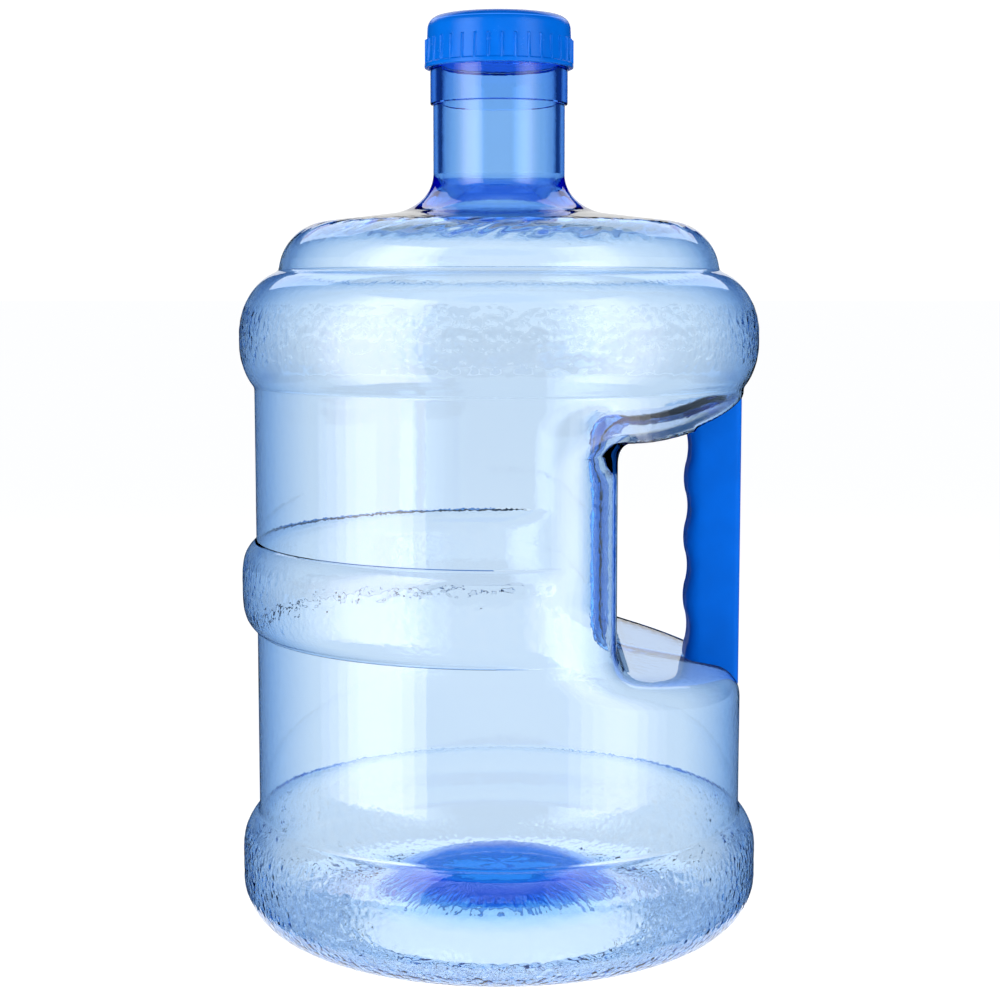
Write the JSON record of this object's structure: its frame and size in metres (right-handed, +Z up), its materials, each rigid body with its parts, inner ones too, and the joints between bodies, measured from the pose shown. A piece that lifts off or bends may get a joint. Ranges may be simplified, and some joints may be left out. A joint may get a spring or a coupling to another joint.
{
  "type": "large water jug",
  "caption": "Large tinted water jug with an upper bulge, a middle ring, a broad base band, an insert grip in a hand pocket and a screw cap over a sealing liner.",
  "frame": {"origin": "on the jug's axis, in the plane of the base ring that it stands on", "axes": "+Z up along the jug's axis, towards the cap; +X towards the handle; -Y is the side seen first, with the handle on the right"},
  "size_m": [0.2188, 0.2188, 0.3813],
  "materials": {
    "tinted_bottle": "clear blue tint, glossy, pebbled bands",
    "handle_blue": "solid blue, satin",
    "cap_blue": "solid blue, semi-gloss",
    "liner_white": "matte foam"
  },
  "bodies": {
    "jug": {"bottle_body": "tinted_bottle", "carry_handle": "handle_blue"},
    "liner": {"seal_liner": "liner_white"},
    "cap": {"screw_cap": "cap_blue"}
  },
  "joints": [
    {"name": "cap_rise", "type": "slide", "parent": "jug", "child": "liner", "axis": [0, 0, 1], "range_m": [0, 0.018]},
    {"name": "cap_unscrew", "type": "hinge", "parent": "liner", "child": "cap", "pos_m": [0, 0, 0.37], "axis": [0, 0, 1], "range_deg": [0, 810]}
  ],
  "couplings": [
    {"joint": "cap_rise", "follows": "cap_unscrew", "m_per_rad": 0.0012732}
  ]
}
